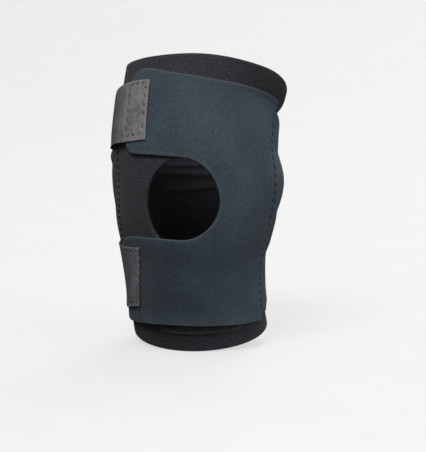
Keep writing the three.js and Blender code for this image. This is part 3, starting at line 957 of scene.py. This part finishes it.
def ranged(tree, value, low, high, to_low=0.0, to_high=1.0):
    inputs = {"Value": value, "From Min": low, "From Max": high, "To Min": to_low, "To Max": to_high}
    return add(tree, "ShaderNodeMapRange", inputs)


def grain(tree, place, per_mm):
    return add(tree, "ShaderNodeTexNoise", {"Vector": place, "Scale": per_mm})


def attribute(tree, name):
    return add(tree, "ShaderNodeAttribute", {}, output="Fac", attribute_name=name)


def in_mm(tree, place):
    return add(tree, "ShaderNodeVectorMath", {0: place, "Scale": 1 / MM}, operation="SCALE")


def flat_places(tree):
    """Places on the flat cut."""
    return in_mm(tree, add(tree, "ShaderNodeUVMap", {}, uv_map="flat"))


def solid_places(tree):
    """Places in the frame."""
    return in_mm(tree, add(tree, "ShaderNodeTexCoord", {}, output="Object"))


def xyz_of(tree, place):
    return list(add(tree, "ShaderNodeSeparateXYZ", {0: place}).node.outputs)


def bumped(tree, shader, height, depth_mm):
    normal = add(tree, "ShaderNodeBump", {"Strength": 1.0, "Distance": depth_mm * MM, "Height": height})
    tree.links.new(normal, shader.inputs["Normal"])


def wave(tree, value, length):
    """A wave between 0 and 1 along a value."""
    angle = maths(tree, "MULTIPLY", value, 2 * math.pi / length)
    return maths(tree, "MULTIPLY_ADD", maths(tree, "COSINE", angle), 0.5, 0.5)


def knit(tree, place):
    """The height of a jersey face: columns of small V-shaped loops."""
    x, y, _ = xyz_of(tree, place)
    half, course = KNIT["wale"] / 2, KNIT["course"]
    across = maths(tree, "DIVIDE", maths(tree, "PINGPONG", x, half), half)
    row = maths(tree, "ADD", y, maths(tree, "MULTIPLY", across, course * KNIT["slope"]))
    return maths(tree, "MULTIPLY", wave(tree, row, course), ranged(tree, across, 0, KNIT["gutter"]))


def shades(tree, place, parts, dark, light):
    """A colour between two, by the grains in PARTS, each with its count per mm and its share."""
    total = None
    for per_mm, share in parts:
        part = maths(tree, "MULTIPLY", ranged(tree, grain(tree, place, per_mm), *GRAIN_RANGE), share)
        total = part if total is None else maths(tree, "ADD", total, part)
    return mixed(tree, total, (*dark, 1), (*light, 1))


def coloured(tree, shader, colour):
    tree.links.new(colour, shader.inputs["Base Color"])


def cut_cloth(tree, shader, colour, edge_wear_and_highlight, edge_wear_and_highlight_share, core=FOAM):
    """Colours a cloth, lighter beside its cut edges with wear and a painted highlight, and with its core's
    colour in the cut.
    """
    beside = ranged(tree, attribute(tree, "edge_mm"), *EDGE_WEAR_AND_HIGHLIGHT, edge_wear_and_highlight_share, 0.0)
    colour = mixed(tree, beside, colour, (*edge_wear_and_highlight, 1))
    coloured(tree, shader, mixed(tree, attribute(tree, "core"), colour, (*core, 1)))


def slate_neoprene():
    made, tree, shader = new_material(
        "slate_neoprene", Roughness=0.9, Specular_IOR_Level=0.15, Sheen_Weight=0.06, Sheen_Roughness=0.5
    )
    place = flat_places(tree)
    parts = [(1.2, 0.32), (0.45, 0.36), (0.03, 0.32)]
    colour = shades(tree, place, parts, dark=(0.0255, 0.036, 0.045), light=(0.0775, 0.103, 0.126))
    cut_cloth(tree, shader, colour, edge_wear_and_highlight=(0.11, 0.13, 0.145), edge_wear_and_highlight_share=0.3)
    fuzz = maths(tree, "MULTIPLY", grain(tree, place, per_mm=2.2), KNIT["fuzz"])
    bumped(tree, shader, maths(tree, "ADD", knit(tree, place), fuzz), depth_mm=0.12)
    return made


def black_neoprene():
    made, tree, shader = new_material(
        "black_neoprene", Roughness=0.95, Specular_IOR_Level=0.12, Sheen_Weight=0.06, Sheen_Roughness=0.6
    )
    place = flat_places(tree)
    parts = [(1.0, 0.65), (0.45, 0.27), (0.05, 0.08)]
    colour = shades(tree, place, parts, dark=(0.002, 0.002, 0.004), light=(0.07, 0.068, 0.082))
    x, y, _ = xyz_of(tree, place)
    # A painted shade darkens the top band on its lateral side.
    side = ranged(tree, x, LATERAL_PAINTED_SHADE["start"], LATERAL_PAINTED_SHADE["full"], 0.0, LATERAL_PAINTED_SHADE["share"])
    side = maths(tree, "MULTIPLY", side, ranged(tree, x, LATERAL_PAINTED_SHADE["gone"], LATERAL_PAINTED_SHADE["fade"]))
    lateral_painted_shade = maths(tree, "MULTIPLY", side, ranged(tree, y, LATERAL_PAINTED_SHADE["low"], LATERAL_PAINTED_SHADE["high"]))
    colour = mixed(tree, lateral_painted_shade, colour, (*LATERAL_PAINTED_SHADE["colour"], 1))
    cut_cloth(tree, shader, colour, edge_wear_and_highlight=(0.06, 0.06, 0.066), edge_wear_and_highlight_share=0.25)
    tufts = maths(tree, "ADD", grain(tree, place, per_mm=0.9), grain(tree, place, per_mm=2.4))
    bumped(tree, shader, tufts, depth_mm=0.35)
    return made


def hook_tape():
    made, tree, shader = new_material(
        "hook_tape", Roughness=0.65, Specular_IOR_Level=0.3, Sheen_Weight=0.03, Sheen_Roughness=0.4
    )
    place = flat_places(tree)
    x, y, _ = xyz_of(tree, place)
    ribs = wave(tree, y, TAPE_WEAVE["rib"])
    rib = maths(tree, "FLOOR", maths(tree, "DIVIDE", y, TAPE_WEAVE["rib"]))
    shifted = maths(tree, "ADD", x, maths(tree, "MULTIPLY", rib, TAPE_WEAVE["shift"]))
    picks = wave(tree, shifted, TAPE_WEAVE["pick"])
    tops = maths(tree, "MULTIPLY_ADD", picks, TAPE_WEAVE["pick_height"], TAPE_WEAVE["rib_height"])
    weave = maths(tree, "MULTIPLY", ribs, tops)
    parts = [(0.8, 0.34), (0.3, 0.33), (0.06, 0.33)]
    colour = shades(tree, place, parts, dark=(0.07, 0.067, 0.071), light=(0.305, 0.29, 0.302))
    # A painted shade darkens the tape where it bends round the side, away from the light.
    bend_painted_shade = ranged(tree, x, BEND_PAINTED_SHADE["from"], BEND_PAINTED_SHADE["to"], 0.0, BEND_PAINTED_SHADE["share"])
    colour = mixed(tree, bend_painted_shade, colour, (*BEND_PAINTED_SHADE["colour"], 1))
    cut_cloth(tree, shader, colour, edge_wear_and_highlight=(0.3, 0.3, 0.3), edge_wear_and_highlight_share=0.35, core=(0.05, 0.05, 0.05))
    bumped(tree, shader, weave, depth_mm=0.14)
    return made


def loop_pile():
    made, tree, shader = new_material(
        "loop_pile", Roughness=0.9, Specular_IOR_Level=0.25, Sheen_Weight=0.25, Sheen_Roughness=0.5
    )
    place = solid_places(tree)
    parts = [(1.6, 0.6), (0.5, 0.4)]
    colour = shades(tree, place, parts, dark=(0.006, 0.006, 0.007), light=(0.035, 0.035, 0.038))
    cut_cloth(tree, shader, colour, edge_wear_and_highlight=(0.12, 0.12, 0.125), edge_wear_and_highlight_share=0.5, core=(0.08, 0.08, 0.084))
    bumped(tree, shader, grain(tree, place, per_mm=2.6), depth_mm=0.3)
    return made


def thread(name, dark, light):
    made, tree, shader = new_material(name, Roughness=0.6, Specular_IOR_Level=0.4)
    place = solid_places(tree)
    coloured(tree, shader, shades(tree, place, [(3.0, 0.6), (0.5, 0.4)], dark, light))
    bumped(tree, shader, grain(tree, place, per_mm=5.0), depth_mm=0.1)
    return made


def hinge_metal():
    made, tree, shader = new_material("hinge_metal", Metallic=1.0)
    place = solid_places(tree)
    parts = [(0.8, 0.6), (0.08, 0.4)]
    coloured(tree, shader, shades(tree, place, parts, dark=(0.5, 0.51, 0.52), light=(0.66, 0.67, 0.68)))
    brushed = add(tree, "ShaderNodeVectorMath", {0: place, 1: BRUSHED["per_mm"]}, operation="MULTIPLY")
    gloss = ranged(tree, grain(tree, brushed, 1.0), *GRAIN_RANGE, *BRUSHED["roughness"])
    tree.links.new(gloss, shader.inputs["Roughness"])
    bumped(tree, shader, grain(tree, brushed, 1.0), depth_mm=0.02)
    return made


def pale_floor():
    made, tree, shader = new_material(
        "floor", Roughness=0.9, Emission_Color=(1, 1, 1, 1), Emission_Strength=0.61
    )
    place = solid_places(tree)
    colour = shades(tree, place, [(0.02, 1.0)], dark=(0.2, 0.2, 0.2), light=(0.21, 0.21, 0.21))
    coloured(tree, shader, colour)
    return made


BLACK = black_neoprene()
SLATE = slate_neoprene()
TAPE = hook_tape()
PILE = loop_pile()
METAL = hinge_metal()
DARK_THREAD = thread("dark_thread", (0.006, 0.006, 0.007), (0.028, 0.03, 0.033))
TAPE_THREAD = thread("tape_thread", (0.02, 0.019, 0.02), (0.064, 0.06, 0.063))
GREY_THREAD = thread("grey_thread", (0.07, 0.06, 0.063), (0.2, 0.18, 0.187))

for piece, slot, material in (
    (seam_thread, "slate_neoprene", DARK_THREAD),
    (lateral_thread, "slate_neoprene", DARK_THREAD),
    (medial_thread, "black_neoprene", GREY_THREAD),
    (upper_thread, "hook_tape", TAPE_THREAD),
    (lower_thread, "hook_tape", TAPE_THREAD),
    (pile, "loop_pile", PILE),
):
    piece.data.materials.append(material)
    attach(piece, "root")


sleeve, panel = pieces["sleeve"], pieces["front_panel"]
for node, slot, material, held, rests_on, with_pieces in (
    ("sleeve", "black_neoprene", BLACK, "stretched", [], []),
    ("front_panel", "slate_neoprene", SLATE, "stretched", [sleeve], [seam_thread]),
    ("upper_tab", "hook_tape", TAPE, "laid", [panel, "medial_hinge_pocket"], [upper_thread]),
    ("lower_tab", "hook_tape", TAPE, "laid", [panel, "medial_hinge_pocket"], [lower_thread]),
    ("lateral_pocket", "slate_neoprene", SLATE, "stretched", ["lateral_hinge", sleeve], [lateral_thread]),
    ("medial_pocket", "black_neoprene", BLACK, "stretched", ["medial_hinge", sleeve], [medial_thread]),
    ("lower_loop_patch", "loop_pile", PILE, "laid", [sleeve], [pile]),
):
    piece = pieces[node]
    piece.data.materials.append(material)
    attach(piece, "root")
    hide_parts(node)

for node in ("lateral_hinge", "medial_hinge"):
    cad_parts[node].data.materials.clear()
    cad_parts[node].data.materials.append(METAL)

# The stage: a pale floor that sweeps up behind, soft light and the camera.
CAMERA_TURN = math.radians(9.5)
CAMERA_RISE = math.radians(8)
CAMERA_DISTANCE = 1.7
METRES_PER_PIXEL = 0.83 * MM
FRAME_WIDTH, FRAME_HEIGHT = 426, 452
ORIGIN_PIXEL = (198, 181)

back = Vector((
    math.sin(CAMERA_TURN) * math.cos(CAMERA_RISE),
    -math.cos(CAMERA_TURN) * math.cos(CAMERA_RISE),
    math.sin(CAMERA_RISE),
))
right = Vector((math.cos(CAMERA_TURN), math.sin(CAMERA_TURN), 0))
up = back.cross(right)
aim = right * (FRAME_WIDTH / 2 - ORIGIN_PIXEL[0]) - up * (FRAME_HEIGHT / 2 - ORIGIN_PIXEL[1])
camera_data = bpy.data.cameras.new("camera")
camera = bpy.data.objects.new("camera", camera_data)
bpy.context.scene.collection.objects.link(camera)
camera_data.lens = camera_data.sensor_width * CAMERA_DISTANCE / METRES_PER_PIXEL / FRAME_HEIGHT
camera.matrix_world = Matrix.Translation(aim * METRES_PER_PIXEL + back * CAMERA_DISTANCE) @ Matrix(
    (right, up, back)
).transposed().to_4x4()
bpy.context.scene.camera = camera

FLOOR_LEVEL = cad_low.z
SWEEP = {"near": -14, "far": 3, "radius": 1.5, "steps": 16, "top": 6, "half_width": 14}


def sweep_mesh():
    radius, steps = SWEEP["radius"], SWEEP["steps"]
    bend = SWEEP["far"] - radius
    profile = [(SWEEP["near"], FLOOR_LEVEL), (bend, FLOOR_LEVEL)]
    for i in range(1, steps + 1):
        angle = math.radians(90 * i / steps)
        profile.append((bend + radius * math.sin(angle), FLOOR_LEVEL + radius * (1 - math.cos(angle))))
    profile.append((SWEEP["far"], FLOOR_LEVEL + SWEEP["top"]))
    half = SWEEP["half_width"]
    points = [(x, y, z) for y, z in profile for x in (-half, half)]
    faces = [(2 * i, 2 * i + 1, 2 * i + 3, 2 * i + 2) for i in range(len(profile) - 1)]
    mesh = bpy.data.meshes.new("floor")
    mesh.from_pydata(points, [], faces)
    return mesh


floor = linked("floor", sweep_mesh())
floor.data.materials.append(pale_floor())
floor.visible_diffuse = False
floor.visible_glossy = False

LIGHT_SIZE = 1.4


def soft_light(name, place, watts):
    data = bpy.data.lights.new(name, "AREA")
    data.size = LIGHT_SIZE
    data.energy = watts
    light = bpy.data.objects.new(name, data)
    light.location = place
    light.rotation_mode = "QUATERNION"
    light.rotation_quaternion = (-light.location).to_track_quat("-Z", "Y")
    bpy.context.scene.collection.objects.link(light)


soft_light("key", Vector((-0.4, -2, 2.5)), watts=68)
soft_light("fill", Vector((2.2, -0.6, 0.7)), watts=14)
soft_light("back", Vector((0.5, 2.2, 1.9)), watts=34)

# The sky is bright above, dim below, and dimmer on the left than on the right.
SKY = {"above": 0.8, "below": 0.08, "low": -0.35, "high": 0.8, "left": 0.4, "right": 1.1}
world = bpy.data.worlds.new("studio")
bpy.context.scene.world = world
world.use_nodes = True
sky = world.node_tree
across, _, upwards = xyz_of(sky, add(sky, "ShaderNodeTexCoord", {}, output="Generated"))
by_height = ranged(sky, upwards, SKY["low"], SKY["high"], SKY["below"], SKY["above"])
by_side = ranged(sky, across, -1, 1, SKY["left"], SKY["right"])
strength = maths(sky, "MULTIPLY", by_height, by_side)
sky.links.new(strength, sky.nodes["Background"].inputs["Strength"])
sky.nodes["Background"].inputs["Color"].default_value = (1, 1, 1, 1)
bpy.context.scene.view_settings.view_transform = "Standard"
